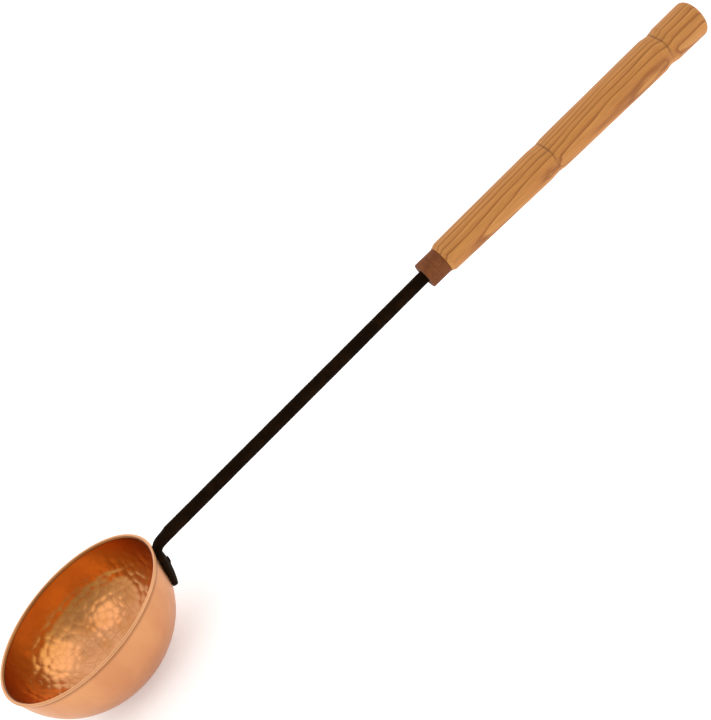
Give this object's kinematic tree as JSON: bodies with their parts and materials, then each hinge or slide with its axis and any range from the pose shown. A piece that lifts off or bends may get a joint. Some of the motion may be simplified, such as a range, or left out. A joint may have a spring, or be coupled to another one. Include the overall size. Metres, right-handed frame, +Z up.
{
  "type": "ladle",
  "caption": "Hammered copper ladle: a deep round bowl with a rolled rim, riveted to a forged round bar that ends in a leather collar and a turned wooden grip.",
  "frame": {"origin": "centre of the flat base of the bowl, on the surface it stands on", "axes": "+Z up the bowl's axis, +X along the handle towards the grip, +Y across"},
  "size_m": [0.5524, 0.114, 0.0735],
  "materials": {
    "copper": "hammered and polished inside, satin outside",
    "forged_iron": "blackened, oiled forge scale",
    "leather": "matte",
    "pine": "oiled, satin"
  },
  "bodies": {
    "root": {"bowl": "copper", "handle_rod": "forged_iron", "rivet": "forged_iron", "collar_washer_1": "leather", "collar_washer_2": "leather", "grip": "pine"}
  },
  "joints": []
}
